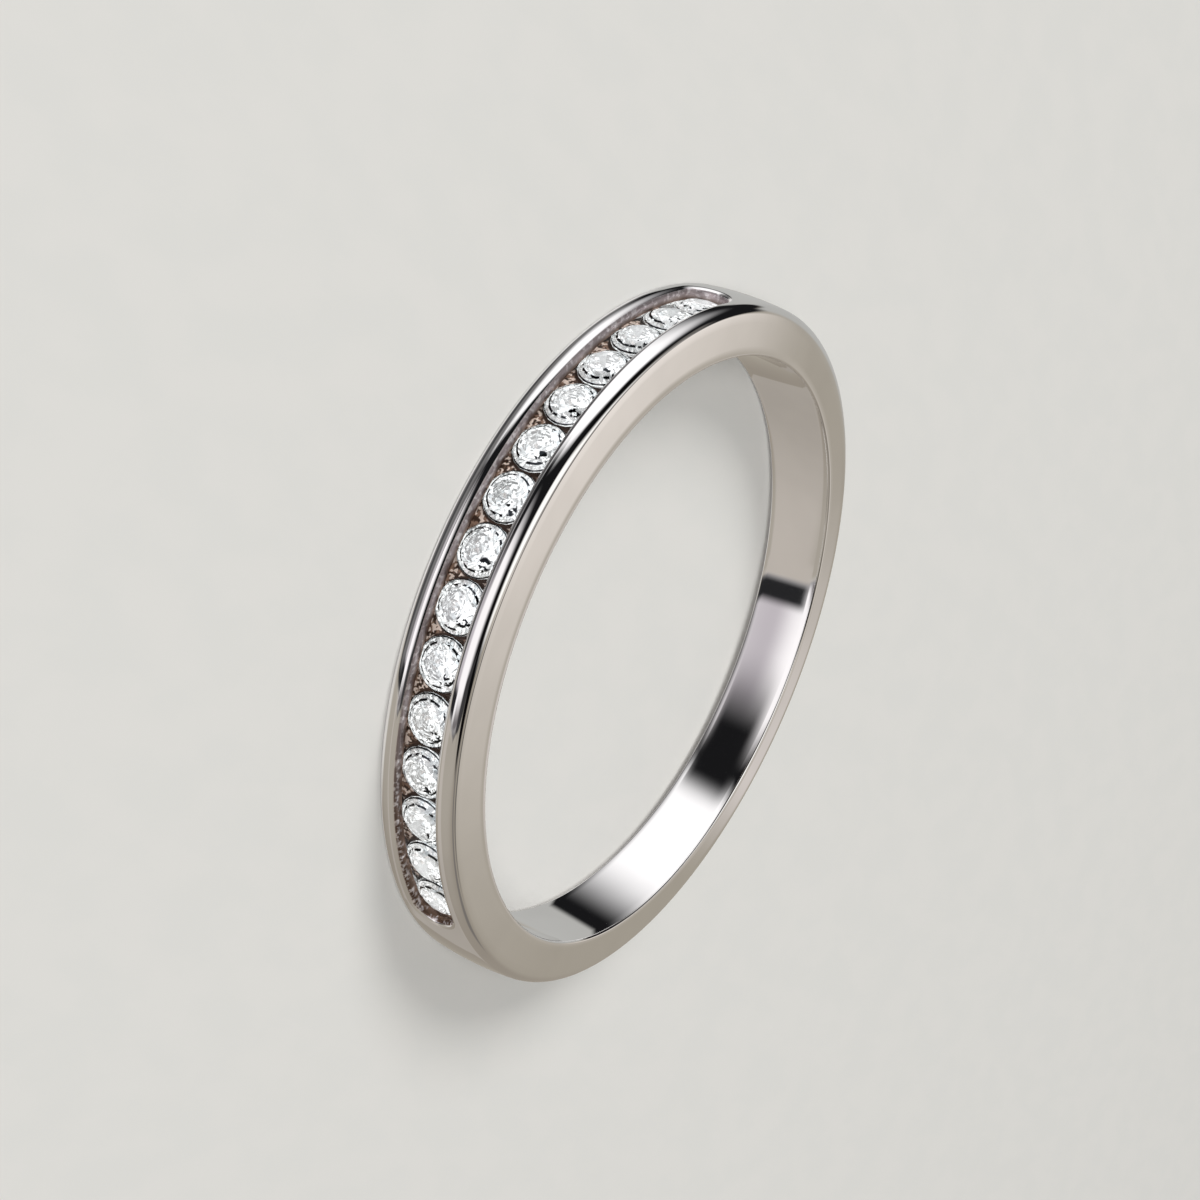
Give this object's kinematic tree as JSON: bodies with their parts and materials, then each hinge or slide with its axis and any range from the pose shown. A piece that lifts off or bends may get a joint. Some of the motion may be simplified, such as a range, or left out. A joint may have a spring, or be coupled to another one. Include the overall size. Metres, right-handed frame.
{
  "type": "stacking diamond ring",
  "caption": "Slim polished ring for a finger, with a row of round brilliant stones set in a channel between two rails.",
  "frame": {"origin": "middle of the finger hole, on its axis and halfway across the band's width", "axes": "+Z along the finger hole's axis, upwards when the ring lies on its side; -Y points to the middle of the stone row; +X to the right as seen from the stones' side"},
  "size_m": [0.0192, 0.0191, 0.0022],
  "materials": {
    "polished_metal": "mirror-polished white gold",
    "diamond": "clear faceted stone"
  },
  "bodies": {
    "root": {"band": "polished_metal", "stone_01": "diamond", "stone_02": "diamond", "stone_03": "diamond", "stone_04": "diamond", "stone_05": "diamond", "stone_06": "diamond", "stone_07": "diamond", "stone_08": "diamond", "stone_09": "diamond", "stone_10": "diamond", "stone_11": "diamond", "stone_12": "diamond", "stone_13": "diamond", "stone_14": "diamond", "stone_15": "diamond"}
  },
  "joints": []
}
